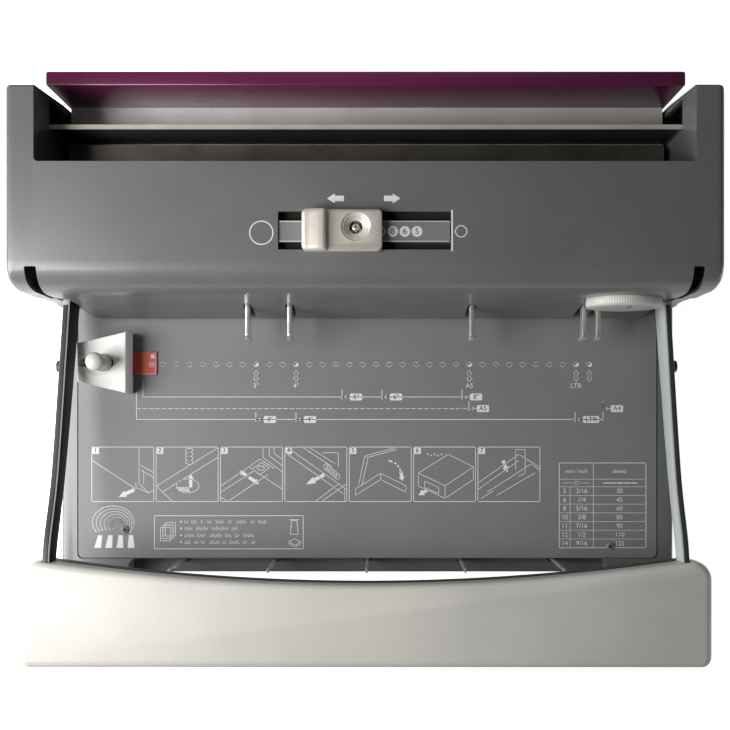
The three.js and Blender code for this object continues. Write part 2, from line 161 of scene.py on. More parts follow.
def metal(name, colour, roughness=0.35, stretch=(1, 40, 40), scratch=0.25, metallic=1.0, stain=0.12):
    """Rolled or plated metal: brushed streaks across `stretch`, faint stains."""
    material, tree, shader = node_material(name)
    streak = noise(tree, object_coordinates(tree, stretch), 60.0, 4.0, 0.65)
    cloud = noise(tree, object_coordinates(tree), 35.0, 4.0)
    tint = ramp(tree, cloud, [(0.3, scaled(colour, 1 - stain)), (0.72, scaled(colour, 1 + stain * 0.6))])
    connect(tree, shader, {
        "Base Color": tint,
        "Roughness": level(tree, streak, roughness - 0.12, roughness + 0.14),
        "Metallic": metallic,
        "Normal": bump(tree, streak, scratch, 0.00003),
    })
    return material


MATERIALS = {
    "body_grey": moulded("body_grey", (0.115, 0.122, 0.121), 0.42, 0.14, 0.13, coat=0.5),
    "table_grey": moulded("table_grey", (0.158, 0.168, 0.17), 0.46, 0.1, 0.11),
    "zinc_steel": metal("zinc_steel", (0.82, 0.81, 0.79), 0.5, (1, 8, 8), 0.2, 0.45, 0.12),
    "steel": metal("steel", (0.33, 0.30, 0.26), 0.42, (1, 60, 60), 0.35, 0.9, 0.25),
    "dark_steel": metal("dark_steel", (0.05, 0.05, 0.052), 0.5, (1, 20, 20), 0.2, 0.6, 0.2),
    "chrome": metal("chrome", (0.72, 0.71, 0.69), 0.3, (6, 6, 1), 0.03, 0.85, 0.05),
    "dark_plastic": moulded("dark_plastic", (0.028, 0.028, 0.03), 0.5, 0.16, 0.2),
    "arm_grey": moulded("arm_grey", (0.38, 0.405, 0.415), 0.6, 0.1, 0.1, specular=0.1),
    "silver_plastic": moulded("silver_plastic", (0.50, 0.487, 0.46), 0.36, 0.08, 0.07, coat=0.12,
                              grain_scale=3200),
    "champagne_metal": metal("champagne_metal", (0.74, 0.69, 0.62), 0.4, (1, 30, 30), 0.12, 0.5, 0.06),
    "purple_gloss": moulded("purple_gloss", (0.105, 0.010, 0.052), 0.28, 0.02, 0.1, coat=0.25),
    "red_plastic": moulded("red_plastic", (0.62, 0.06, 0.025), 0.45, 0.05, 0.06),
    "rubber": moulded("rubber", (0.018, 0.018, 0.018), 0.8, 0.3, 0.25),
}
WHITE_INK = moulded("white_ink", (0.62, 0.64, 0.63), 0.6, 0.03, 0.04)
WHITE_PLASTIC = moulded("white_plastic", (0.88, 0.875, 0.86), 0.45, 0.04, 0.03, coat=0.1)
DULL_STEEL = metal("dull_steel", (0.17, 0.155, 0.135), 0.42, (1, 60, 60), 0.3, 0.8, 0.3)
EDGE_STEEL = metal("edge_steel", (0.62, 0.58, 0.50), 0.45, (1, 60, 60), 0.25, 0.55, 0.15)
# Painted shade: near-black steel for the thin sheet on the moving jaw's front.
JAW_SHADE_PAINT = metal("jaw_shade_paint", (0.03, 0.03, 0.033), 0.5, (1, 30, 30), 0.2, 0.3, 0.3)
# Painted shade: a near-black finish that stands in for the darkness inside grooves and screw sockets.
GAP_SHADE_PAINT = moulded("gap_shade_paint", (0.005, 0.005, 0.006), 0.85, 0.1, 0.2)
# Painted shadow: a near-black finish for the left arm's inner face, standing in for the shade on it.
PAINTED_ARM_SHADOW = moulded("arm_painted_shadow", (0.03, 0.031, 0.037), 0.6, 0.1, 0.1, specular=0.1)
DARK_INK = moulded("dark_ink", (0.02, 0.021, 0.022), 0.6, 0.03, 0.04)
FINISHES = {"closer_fixed_jaw": DULL_STEEL, "closer_moving_jaw": EDGE_STEEL}


# ---- mesh helpers

def add_piece(name, shape, slot, body="machine", material=None, replaces=()):
    """A visible piece from a mesh, or from a function that builds one in millimetres."""
    mesh = mesh_from(shape) if callable(shape) else shape
    piece = bpy.data.objects.new(name, mesh)
    scene.collection.objects.link(piece)
    mesh.materials.clear()
    mesh.materials.append(material or MATERIALS[slot])
    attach(piece, body)
    if replaces:
        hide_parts(*replaces)
    return piece


def mesh_from(build):
    """A mesh from a function that fills a bmesh, in millimetres."""
    work = bmesh.new()
    build(work)
    bmesh.ops.scale(work, vec=(MM, MM, MM), verts=work.verts)
    bmesh.ops.recalc_face_normals(work, faces=work.faces)
    mesh = bpy.data.meshes.new("mesh")
    work.to_mesh(mesh)
    work.free()
    return mesh


def skin(loops, closed=True):
    """Builds a skin over equal-length closed loops of (x, y, z), capped at its ends or joined into a ring."""
    def build(work):
        rows = [[work.verts.new(point) for point in loop] for loop in loops]
        count = len(rows[0])
        pairs = list(zip(rows, rows[1:])) + ([] if closed else [(rows[-1], rows[0])])
        for row, following in pairs:
            for i in range(count):
                j = (i + 1) % count
                work.faces.new((row[i], row[j], following[j], following[i]))
        if closed:
            work.faces.new(rows[0])
            work.faces.new(list(reversed(rows[-1])))
    return build


def smooth(piece, angle=38):
    work = bmesh.new()
    work.from_mesh(piece.data)
    for edge in work.edges:
        if len(edge.link_faces) == 2:
            edge.smooth = edge.calc_face_angle(0.0) < radians(angle)
    for face in work.faces:
        face.smooth = True
    work.to_mesh(piece.data)
    work.free()


def soften(piece, width=0.4, segments=3, angle=30):
    bevel = piece.modifiers.new("edge", "BEVEL")
    bevel.width = width * MM
    bevel.segments = segments
    bevel.limit_method = "ANGLE"
    bevel.angle_limit = radians(angle)
    smooth(piece)


def arc(cx, cy, radius, start, end, steps):
    """Points on an arc, angles in degrees, both ends included."""
    angles = [radians(start + (end - start) * i / steps) for i in range(steps + 1)]
    return [(cx + radius * cos(a), cy + radius * sin(a)) for a in angles]


def oval(cx, cy, rx, ry, steps=48):
    return [(cx + rx * cos(2 * pi * i / steps), cy + ry * sin(2 * pi * i / steps)) for i in range(steps)]


def chamfered(start, end, *steps):
    """(place, inset) stations between two ends; steps are (depth, inset) from an end inwards."""
    first = [(start + depth, inset) for depth, inset in steps]
    return first + [(end - depth, inset) for depth, inset in reversed(steps)]


def rounded_rect(x0, x1, y0, y1, radius, steps=6):
    left, right, front, rear = x0 + radius, x1 - radius, y0 + radius, y1 - radius
    return (arc(right, front, radius, -90, 0, steps) + arc(right, rear, radius, 0, 90, steps)
            + arc(left, rear, radius, 90, 180, steps) + arc(left, front, radius, 180, 270, steps))


def raised(plan, z0, z1):
    return skin([[(x, y, z) for x, y in plan] for z in (z0, z1)])


def swept(side, x0, x1):
    return skin([[(x, y, z) for y, z in side] for x in (x0, x1)])


def box_of(x0, x1, y0, y1, z0, z1):
    return raised([(x0, y0), (x1, y0), (x1, y1), (x0, y1)], z0, z1)


def round_bar(axis, radius, start, end, a, b, sides=48):
    ring = arc(0, 0, radius, 0, 360, sides)[:-1]
    place = {
        "x": lambda u, v, w: (w, a + u, b + v),
        "y": lambda u, v, w: (a + u, w, b + v),
        "z": lambda u, v, w: (a + u, b + v, w),
    }[axis]
    return skin([[place(u, v, w) for u, v in ring] for w in (start, end)])


def carve(piece, *builders):
    """Cuts shapes out of a piece and keeps the result as its mesh."""
    cutter = bpy.data.objects.new("cutter", mesh_from(lambda work: [build(work) for build in builders]))
    scene.collection.objects.link(cutter)
    boolean = piece.modifiers.new("cut", "BOOLEAN")
    boolean.operation = "DIFFERENCE"
    boolean.solver = "EXACT"
    boolean.use_self = True
    boolean.object = cutter
    bpy.context.view_layer.update()
    shaped = piece.evaluated_get(bpy.context.evaluated_depsgraph_get())
    mesh = bpy.data.meshes.new_from_object(shaped)
    piece.modifiers.clear()
    piece.data = mesh
    bpy.data.objects.remove(cutter)
    return piece


def mm_box(node):
    low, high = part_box(node)
    return low / MM, high / MM


SIDES = ((-1, "left"), (1, "right"))


# ---- sizes shared with the frame

HOLES = 34
PITCH = 25.4 / 3
PIN_HOLES = [8, 11, 24, 32, 33]
WALL = 2.5
TABLE_Z = mm_box("paper_table")[1].z
BASE_LOW, BASE_HIGH = mm_box("base_shell")
PANEL_LOW, PANEL_HIGH = mm_box("rear_panel")
HEAD_HALF, HEAD_REAR, HEAD_TOP = mm_box("head_cover")[1]
HEAD_FOOT = 37.6
TROUGH_Y = 113.3
TROUGH_X = PANEL_HIGH.x
SLOT_X = (-47.2, 46.6)
SLOT_Y = (65.3, 86.0)
ARM_SLOT_X = (178.6, 185.1)
ARM_SLOT_REAR = 56.4
DIAL_LOW, DIAL_HIGH = mm_box("margin_dial")
DIAL_X, DIAL_Z = (DIAL_LOW.x + DIAL_HIGH.x) / 2, (DIAL_LOW.z + DIAL_HIGH.z) / 2
DIAL_R = (DIAL_HIGH.x - DIAL_LOW.x) / 2


def hole_x(index):
    return (index - (HOLES - 1) / 2) * PITCH


def bezier(a, b, c, steps):
    """Points on the quadratic curve from a to c with control point b."""
    points = []
    for i in range(steps + 1):
        t = i / steps
        points.append(tuple((1 - t) ** 2 * p + 2 * t * (1 - t) * q + t * t * r for p, q, r in zip(a, b, c)))
    return points


# ---- head covers

def rounded_steps(half, inset, corner):
    """(x, inset) stations that round the end of a loft at x = half."""
    turns = [radians(15 * i) for i in range(7)]
    return [(half - corner + corner * sin(turn), inset + corner * (1 - cos(turn))) for turn in turns]


def front_side(inset, foot):
    """The head's front outline, (y, z), from the middle of its top down to its bottom edge."""
    top = HEAD_TOP - inset
    points = bezier((60, top), (44.5 + inset, top), (43 + inset, 120), 14)
    points += bezier((42.9 + inset, 118), (42.7 + inset, 96), (42.0 + inset, 80), 6)
    points += bezier((41.3 + inset, 76), (39.4 + inset, 60), (36.2 + inset, 42.5), 6)
    points.append((36.2 + inset, foot))
    return points


def sweep_back(x, z):
    """How far the front face is drawn back: at its lower corners beside the arms, and on the end cheeks."""
    if abs(x) > 180.5:
        return 1.5 + 5.5 * min(1.0, max(0.0, (90 - z) / 40))
    reach = max(0.0, abs(x) - 167) / 12
    fade = min(1.0, max(0.0, (104 - z) / 46))
    return 5.4 * reach ** 2 * fade


def head_loop(x, inset, rear, foot):
    loop = []
    for y, z in rear + front_side(inset, foot):
        if y < 62:
            y += sweep_back(x, z) * min(1.0, (HEAD_TOP - z) / 12)
        loop.append((x, y, z))
    return loop


def cap_rear(inset):
    """Rear outline of the head's ends, (y, z), leaning back towards the base."""
    corner = max(0.6, 1.8 - inset)
    y, top = HEAD_REAR - 5.0 - inset, HEAD_TOP - inset
    lean = [(HEAD_REAR - inset, HEAD_FOOT), (HEAD_REAR - 1 - inset, 82)]
    return lean + arc(y - corner, top - corner, corner, 0, 90, 5)


def head_rows(half, wall, corner, rear, foot):
    """The head's cross-sections from end to end; rear(inset) is the rear outline of one."""
    stations = [(half - corner - 2 * k, wall) for k in range(15, 0, -1)] + rounded_steps(half, wall, corner)
    stations = [(-x, inset) for x, inset in reversed(stations)] + stations
    return [head_loop(x, inset, rear(inset), foot) for x, inset in stations]


def head_solid():
    return skin(head_rows(HEAD_HALF, 0, 3.2, cap_rear, HEAD_FOOT))


def head_hollow():
    rear = [(TROUGH_Y - WALL, 30), (TROUGH_Y - WALL, HEAD_TOP - WALL)]
    return skin(head_rows(HEAD_HALF - WALL, WALL, 2.5, lambda inset: rear, 30))


def end_hollow(side):
    """The space inside one end of the head, beside the trough."""
    top, rear = HEAD_TOP - WALL, HEAD_REAR - WALL
    outline = [(106, 30), (rear, 30), (rear - 1, 82), (rear - 5.7, top), (106, top)]
    return skin([[(side * x, y, z) for y, z in outline] for x in (TROUGH_X + WALL, HEAD_HALF - WALL)])


def slot_box(x0, x1, y0, y1, z0, z1, radius=1.2):
    return raised(rounded_rect(x0, x1, y0, y1, radius, 4), z0, z1)


def side_span(side, near, far):
    return (near, far) if side > 0 else (-far, -near)


def head_shell():
    head = add_piece("head_shell", head_solid(), "body_grey", replaces=("head_cover",))
    carve(head, head_hollow())
    carve(head, end_hollow(1), end_hollow(-1))
    carve(head, slot_box(-TROUGH_X, TROUGH_X, TROUGH_Y, 190, 20, 160, 2.2))
    carve(head, box_of(-TROUGH_X, TROUGH_X, 108, 116, 30, 87), box_of(-178.7, 178.7, 20, 48, 30, 42.5),
          slot_box(*SLOT_X, *SLOT_Y, 130, 150, 0.8),
          round_bar("y", DIAL_R + 0.7, 30, 50, DIAL_X, DIAL_Z))
    carve(head, *[slot_box(hole_x(i) - 2.6, hole_x(i) + 2.6, 30, 50, 40, 76.5, 0.6) for i in PIN_HOLES])
    for side in (1, -1):
        carve(head, slot_box(*side_span(side, *ARM_SLOT_X), 20, ARM_SLOT_REAR, 30, 150, 1.0),
              box_of(*side_span(side, 170, 191), 100, 157.4, 30, 71))
        carve(head, slot_box(*side_span(side, 170, 183.4), 137.3, 155, 60, 111.5, 1.0))
    soften(head, 0.5, 2, 40)


def side_pads():
    """Thin raised pads on the outside of the head's ends."""
    for side, name in SIDES:
        pad = swept(rounded_rect(73, 146, 52, 130, 9, 8), *side_span(side, HEAD_HALF - 0.6, HEAD_HALF + 0.7))
        soften(add_piece(f"side_pad_{name}", pad, "body_grey"), 0.6, 4)


head_shell()
side_pads()


# ---- rear panel

def rear_cover():
    y0, y1, corner, rows = PANEL_LOW.y - 0.3, PANEL_HIGH.y + 0.6, 0.8, []
    for x, inset in chamfered(-PANEL_HIGH.x, PANEL_HIGH.x, (0, 0.9), (0.3, 0.3), (1.0, 0)):
        bend = PANEL_HIGH.z - inset - corner
        side = [(y0 + inset, 37.4), (y0 + inset, bend)]
        side += reversed(arc(y0 + inset + corner, bend, corner, 90, 180, 5))
        side += reversed(arc(y1 - inset - corner, bend, corner, 0, 90, 5))
        side += [(y1 - inset, 37.4)]
        rows.append([(x, y, z) for y, z in side])
    panel = add_piece("rear_cover", skin(rows), "purple_gloss", replaces=("rear_panel",))
    x, front, rear = PANEL_HIGH.x - 1.5, PANEL_LOW.y + 1.5, PANEL_HIGH.y - 1.5
    carve(panel, box_of(-x, x, front, rear, 30, 116.9))
    smooth(panel, 34)


rear_cover()


# ---- handle

GRIP_LOW, GRIP_HIGH = mm_box("grip_cover")
TRAY_TOP = mm_box("grip_body")[1].z
TRAY_FOOT = 84.0
GRIP_CORNER_Y = -107.3
GRIP_MIDDLE_Y = -121.1
GRIP_CORNER = 11


def grip_rear(x, inset):
    """Rear edge of the grip: drawn in towards the middle, rounded at its two corners."""
    share = min(1.0, abs(x) / (GRIP_HIGH.x - GRIP_CORNER))
    return GRIP_MIDDLE_Y + (GRIP_CORNER_Y - GRIP_MIDDLE_Y) * share ** 2 - inset


def grip_plan(inset, steps=60):
    """Plan outline of the grip, (x, y), drawn in by `inset`."""
    half = GRIP_HIGH.x - inset
    front = GRIP_LOW.y + inset
    rear_r = GRIP_CORNER - min(inset, 8)
    front_r = 6 - min(inset, 4)
    points = arc(-half + front_r, front + front_r, front_r, 180, 270, 8)
    points += arc(half - front_r, front + front_r, front_r, 270, 360, 8)
    end = GRIP_CORNER_Y - inset
    points += arc(half - rear_r, end - rear_r, rear_r, 0, 90, 8)
    span = half - rear_r
    places = [span - 2 * span * i / steps for i in range(1, steps)]
    points += [(x, grip_rear(x, inset)) for x in places]
    points += arc(-half + rear_r, end - rear_r, rear_r, 90, 180, 8)
    return points


def stacked(plan, levels):
    """Plan outlines at (z, inset) levels skinned into one closed body."""
    return skin([[(x, y, z) for x, y in plan(inset)] for z, inset in levels])


def rounded_edge(z, radius, inset, upward=True, steps=5):
    """(z, inset) levels that round an edge ending at height z."""
    levels = []
    for i in range(steps + 1):
        turn = radians(90 * i / steps)
        rise, shrink = radius * (1 - sin(turn)), radius * (1 - cos(turn))
        levels.append((z - rise, inset + shrink) if upward else (z + shrink, inset + rise))
    return levels


def grip_notches(z0, z1):
    """Room for the arms' tongues inside the grip."""
    return [box_of(*side_span(side, 179.1, 184.6), -118, -100, z0, z1) for side in (-1, 1)]


def grip():
    levels = [(GRIP_LOW.z, 0.5), (GRIP_LOW.z + 0.5, 0.0)] + rounded_edge(GRIP_HIGH.z, 4.2, 0.0)
    top = add_piece("grip_top", stacked(grip_plan, levels), "silver_plastic", "handle",
                    replaces=("grip_cover",))
    carve(top, stacked(grip_plan, [(GRIP_LOW.z - 1, 2.4), (112.2, 2.4)]), *grip_notches(100, 112.3))
    smooth(top, 40)
    levels = sorted(rounded_edge(TRAY_FOOT, 4.0, 0.9, upward=False))
    levels += [(TRAY_TOP - 0.5, 0.9), (TRAY_TOP, 1.3)]
    tray = add_piece("grip_tray", stacked(grip_plan, levels), "dark_plastic", "handle",
                     replaces=("grip_body",))
    carve(tray, stacked(grip_plan, [(TRAY_FOOT + 2.5, 3.2), (104, 3.2)]), *grip_notches(96, 104))
    smooth(tray, 40)


grip()


# ---- handle arms

def spline(points, steps):
    """A smooth line through the points (Catmull-Rom)."""
    path = [points[0]] + list(points) + [points[-1]]
    result = []
    for a, b, c, d in zip(path, path[1:], path[2:], path[3:]):
        for i in range(steps):
            t = i / steps
            result.append(tuple(0.5 * (2 * q + (r - p) * t + (2 * p - 5 * q + 4 * r - s) * t * t
                                       + (3 * q - p - 3 * r + s) * t ** 3) for p, q, r, s in zip(a, b, c, d)))
    result.append(points[-1])
    return result


PIVOT_Y, PIVOT_Z = 118.0, 45.0


def arm_outline(inset):
    """Side outline of an arm, (y, z), from its tongue inside the grip to its hub."""
    lower = spline([(-150, 96 + inset), (-112, 98.5 + inset), (-56, 77.6 + inset), (42, 48 + inset),
                    (PIVOT_Y - 5, PIVOT_Z - 12.6 + inset)], 10)
    hub = arc(PIVOT_Y, PIVOT_Z, 13.4 - inset, -95, 70, 14)
    upper = [(42, 70.2 - inset), (-56, 93.0 - inset), (-106, 111.4 - inset), (-150, 108.4 - inset)]
    return lower + hub + spline(upper, 10)


def strip_along(path, x, width, thickness):
    """A flat strip, `width` wide about x, following a (y, z) path, with rounded long edges."""
    half_w, half_t = width / 2, thickness / 2
    section = rounded_rect(-half_w, half_w, -half_t, half_t, min(half_w, half_t) * 0.8, 3)
    loops = []
    for i, (y, z) in enumerate(path):
        y0, z0 = path[max(0, i - 1)]
        y1, z1 = path[min(len(path) - 1, i + 1)]
        length = hypot(y1 - y0, z1 - z0)
        ny, nz = (z0 - z1) / length, (y1 - y0) / length
        loops.append([(x + u, y + ny * v, z + nz * v) for u, v in section])
    return skin(loops)


def shade_inner_face(arm):
    """Painted shadow: a near-black finish on the left arm's inner face stands in for the shade there; the
    right arm's inner face keeps the plain grey.
    """
    arm.data.materials.append(PAINTED_ARM_SHADOW)
    for polygon in arm.data.polygons:
        if polygon.normal.x > 0.6:
            polygon.material_index = 1


def handle_arm(side, name):
    low, high = mm_box(f"handle_arm_{name}")
    near, far = low.x, high.x
    rows = chamfered(near, far, (0, 1.0), (0.3, 0.3), (1.0, 0.0))
    body = skin([[(x, y, z) for y, z in arm_outline(inset)] for x, inset in rows])
    arm = add_piece(f"arm_{name}", body, "arm_grey", "handle", replaces=(f"handle_arm_{name}",))
    carve(arm, round_bar("x", 6.2, -200, 200, PIVOT_Y, PIVOT_Z))
    # A shallow pressed panel along the outer face.
    face = far if side > 0 else near
    panel_side = [(y, z) for y, z in arm_outline(4.2) if -98 < y < 30]
    carve(arm, swept(panel_side, *sorted((face - side * 0.7, face + side * 2))))
    smooth(arm, 34)
    # The left arm gets painted shadow on its inner face.
    if side < 0:
        shade_inner_face(arm)
    # A dark strip lies along the top edge and leaves a thin bright line outside it.
    ridge = [(y, z) for y, z in arm_outline(-0.1)[44:] if -111 < y < 60]
    trim = strip_along(ridge, (near + far) / 2 + side * 0.35, 2.9, 0.6)
    smooth(add_piece(f"arm_trim_{name}", trim, "dark_plastic", "handle"), 40)


def arm_bolt(side, name):
    low, high = mm_box(f"arm_bolt_{name}")
    y, z = (low.y + high.y) / 2, (low.z + high.z) / 2
    radius = (high.z - low.z) / 2
    inner, outer = (low.x, high.x) if side > 0 else (high.x, low.x)
    rows = [(inner, radius), (outer - side * 1.0, radius), (outer - side * 0.3, radius * 0.88),
            (outer, radius * 0.62)]
    domed = skin([[(x, y + u, z + v) for u, v in arc(0, 0, r, 0, 360, 32)[:-1]] for x, r in rows])
    bolt = add_piece(f"bolt_{name}", domed, "dark_steel", "handle", replaces=(f"arm_bolt_{name}",))
    hexagon = [(y + u, z + v) for u, v in arc(0, 0, radius * 0.45, 0, 360, 6)[:-1]]
    carve(bolt, swept(hexagon, *sorted((outer - side * 1.3, outer + side))))
    smooth(bolt, 40)


for side, name in SIDES:
    handle_arm(side, name)
    arm_bolt(side, name)


# ---- pull pins, hooks and dial

def pull_pin(number, index):
    low, high = mm_box(f"pull_pin_{number}")
    side = [(high.y, 65.0), (high.y, 73.0), (25.5, 73.0)]
    side += arc(24.6, 69.2, 4.0, 92, 178, 8)
    side += [(low.y, 61.0)] + arc(low.y + 1.15, 60.2, 1.15, 180, 360, 6) + [(low.y + 2.3, 63.4)]
    side += list(reversed(arc(low.y + 4.2, 63.2, 1.8, 90, 180, 5)))
    middle_y, middle_z = sum(y for y, _ in side) / len(side), (low.z + high.z + 8) / 2
    half = (high.x - low.x) / 2
    rows = []
    for x, inset in chamfered(-half, half, (0, 0.6), (0.2, 0.18), (0.6, 0)):
        loop = []
        for y, z in side:
            dy, dz = y - middle_y, z - middle_z
            inwards = -1 if dz > 0 else 1
            reach = hypot(dy, dz) or 1.0
            loop.append((hole_x(index) + x, y - inset * dy / reach * 0.6, z + inset * 0.6 * inwards))
        rows.append(loop)
    node = f"pull_pin_{number}"
    smooth(add_piece(f"pin_{number}", skin(rows), "chrome", node, replaces=(node,)), 30)


for number, index in enumerate(PIN_HOLES, 1):
    pull_pin(number, index)


def tube(path, radius, sides=14):
    """A round wire along (x, y, z) points, thinner at its two ends."""
    loops, last = [], len(path) - 1
    for i, point in enumerate(path):
        ahead = Vector(path[min(last, i + 1)]) - Vector(path[max(0, i - 1)])
        turn = ahead.to_track_quat("Z", "Y")
        r = radius * (0.55 if i in (0, last) else 1.0)
        loops.append([tuple(Vector(point) + turn @ Vector((u, v, 0))) for u, v in oval(0, 0, r, r, sides)])
    return skin(loops)


def lathe(profile, x, y, sides=40):
    """A (radius, z) profile turned about the upright line through (x, y), closed on itself."""
    return skin([[(u, v, z) for u, v in oval(x, y, r, r, sides)] for r, z in profile], closed=False)


def wire_hooks():
    collar = [(1.9, 20.05), (2.7, 20.05), (2.5, 20.8), (1.9, 21.1), (1.25, 20.9), (1.25, 20.05)]
    for number in range(1, 6):
        low, high = mm_box(f"wire_hook_{number}")
        x, y, top = (low.x + high.x) / 2, (low.y + high.y) / 2, high.z
        path = [(x, y, low.z + (top - 4 - low.z) * k / 8) for k in range(9)]
        path += [(x, y - 0.25, top - 2.4), (x, y - 0.8, top - 1.0), (x, y - 1.3, top - 0.2)]
        hook = add_piece(f"hook_{number}", tube(path, 1.0), "chrome", replaces=(f"wire_hook_{number}",))
        smooth(hook, 50)
        smooth(add_piece(f"hook_collar_{number}", lathe(collar, x, y), "dark_plastic"), 40)


wire_hooks()


def margin_dial():
    """The margin-depth dial: a domed disc with a finely ribbed rim and a pointer line."""
    ribs = 96
    depth = DIAL_HIGH.y - DIAL_LOW.y
    profile = [(0.10, 0.0), (0.70, 0.0), (0.80, 0.25), (0.90, 0.45), (0.965, 0.9), (1.0, 1.7),
               (1.0, depth - 1.0), (0.985, depth - 0.4), (0.96, depth)]
    turns = [2 * pi * k / (ribs * 4) for k in range(ribs * 4)]
    loops = []
    for place, (share, back) in enumerate(profile):
        cut = 0.28 if place in (5, 6) else 0.0
        rim = [(DIAL_R * share - cut * (0.5 - 0.5 * cos(ribs * turn)), turn) for turn in turns]
        loops.append([(DIAL_X + r * cos(turn), DIAL_LOW.y + back, DIAL_Z + r * sin(turn)) for r, turn in rim])
    smooth(add_piece("dial", skin(loops), "silver_plastic", "margin_dial", replaces=("margin_dial",)), 40)
    pointer = box_of(DIAL_X - 0.5, DIAL_X + 0.5, DIAL_LOW.y - 0.12, DIAL_LOW.y + 0.6, DIAL_Z + 8, DIAL_Z + 17)
    soften(add_piece("dial_pointer", pointer, "dark_plastic", "margin_dial"), 0.08, 2)


margin_dial()


# ---- base and table

BASE_HALF = BASE_HIGH.x
BASE_FRONT, BASE_REAR = BASE_LOW.y, BASE_HIGH.y
LEDGE_Z = 20.0
LEDGE_HALF = 152.0
LEDGE_REAR = -115.8
BASE_WALL = 2.6


def base_plan(inset):
    return rounded_rect(-BASE_HALF + inset, BASE_HALF - inset, BASE_FRONT + inset, BASE_REAR - inset,
                        max(1.0, 6.0 - inset))


def base_body():
    levels = [(BASE_LOW.z, 0.8), (BASE_LOW.z + 0.8, 0.0), (8.6, 0.0), (8.8, 0.45), (9.4, 0.45), (9.6, 0.0)]
    levels += rounded_edge(TABLE_Z, 1.8, 0.0)
    base = add_piece("base_body", stacked(base_plan, levels), "body_grey", replaces=("base_shell",))
    inner, front, ledge = BASE_HALF - BASE_WALL, BASE_FRONT + BASE_WALL, LEDGE_HALF + BASE_WALL
    carve(base, slot_box(-inner, inner, -113.2, BASE_REAR - BASE_WALL, 3, 33, 2))
    carve(base, box_of(-inner, inner, front, -108, 3, LEDGE_Z - BASE_WALL),
          box_of(ledge, inner, front, -112, 3, 33), box_of(-inner, -ledge, front, -112, 3, 33))
    carve(base, slot_box(-LEDGE_HALF, LEDGE_HALF, BASE_FRONT - 8, LEDGE_REAR, LEDGE_Z, 60, 5))
    carve(base, slot_box(-184.3, 184.3, -116.0, 45, TABLE_Z - 1.6, 50, 3.4))
    carve(base, box_of(-190, 190, 44.2, 162, 20, 50), box_of(inner - 2, BASE_HALF + 2, 33, 73, 5.8, 31.3))
    hooks = [i * 7 * PITCH for i in range(-2, 3)]
    carve(base, *[round_bar("z", 1.5, LEDGE_Z - 5, LEDGE_Z + 2, x, -117.5, 20) for x in hooks])
    soften(base, 0.35, 3, 50)


def table_plate():
    def plan(inset):
        half = 183.8 - inset
        return rounded_rect(-half, half, -115.5 + inset, 43.9 - inset, max(1.0, 3.4 - inset), 8)
    levels = [(TABLE_Z - 1.3, 0.0), (TABLE_Z - 0.55, 0.0), (TABLE_Z - 0.2, 0.12), (TABLE_Z, 0.45)]
    smooth(add_piece("table_plate", stacked(plan, levels), "table_grey", replaces=("paper_table",)), 30)


def screw_head(name, x, y, z, radius, height, slot, body, material, source):
    """A domed screw head with a cross recess."""
    profile = [(0.02, z), (radius * 0.96, z), (radius, z + height * 0.25), (radius * 0.86, z + height * 0.7),
               (radius * 0.5, z + height * 0.95), (0.02, z + height)]
    screw = add_piece(name, lathe(profile, x, y), slot, body, material, (source,))
    arm, thin, low, top = radius * 0.58, radius * 0.13, z + height * 0.35, z + height + 1
    carve(screw, box_of(x - arm, x + arm, y - thin, y + thin, low, top),
          box_of(x - thin, x + thin, y - arm, y + arm, low, top))
    smooth(screw, 35)


def rubber_feet():
    profile = [(0.02, 0.0), (7.4, 0.0), (8.0, 0.5), (9.0, 3.5), (9.0, 4.0), (0.02, 4.0)]
    for row, y in (("front", -105), ("rear", 145)):
        for side, name in SIDES:
            foot = lathe(profile, side * 165, y)
            smooth(add_piece(f"foot_{row}_{name}", foot, "rubber",
                             replaces=(f"rubber_foot_{row}_{name}",)), 35)


base_body()
table_plate()
rubber_feet()
for name, x, y, source in (("a", -154, -97.4, "table_screw_left"), ("b", 154, -108, "table_screw_right")):
    screw_head(f"table_screw_{name}", x, y, TABLE_Z + 0.3, 2.6, 0.9, "chrome", "machine",
               MATERIALS["table_grey"], source)
    # Painted shade: a near-black disc on top of each screw head stands in for the dark socket in it.
    socket_shade = slot_box(x - 0.9, x + 0.9, y - 0.9, y + 0.9, TABLE_Z + 0.9, TABLE_Z + 1.22, 0.88)
    smooth(add_piece(f"table_screw_socket_shade_{name}", socket_shade, "dark_plastic", material=GAP_SHADE_PAINT))


# ---- edge guide

GUIDE_LOW, GUIDE_HIGH = mm_box("edge_guide")
KNOB_X, KNOB_Y = -163.0, 7.5


def guide_plan(inset):
    left, right = GUIDE_LOW.x + inset, GUIDE_HIGH.x - inset
    front, rear = GUIDE_LOW.y + inset, GUIDE_HIGH.y - inset
    return [(left, -4.2 + inset), (right, front), (right, rear), (left, 19.8 - inset)]


def edge_guide():
    top = GUIDE_HIGH.z
    levels = [(GUIDE_LOW.z, 0.3), (GUIDE_LOW.z + 0.3, 0.0)] + rounded_edge(top, 1.0, 0.0, steps=4)
    guide = add_piece("guide_body", stacked(guide_plan, levels), "silver_plastic", "edge_guide",
                      WHITE_PLASTIC, replaces=("edge_guide",))
    carve(guide, stacked(guide_plan, [(30, 2.2), (top - 2.6, 2.2)]))
    rings = [(1.5, 1.02), (0.0, 1.0), (-0.25, 0.98), (-0.45, 0.93), (-0.55, 0.85)]
    carve(guide, skin([[(x, y, top + z) for x, y in oval(-165.2, KNOB_Y, 12.6 * share, 7.2 * share)]
                       for z, share in rings]))
    carve(guide, slot_box(-178.2, -156.4, KNOB_Y - 2.4, KNOB_Y + 2.4, 50, 60, 2.3))
    smooth(guide, 40)


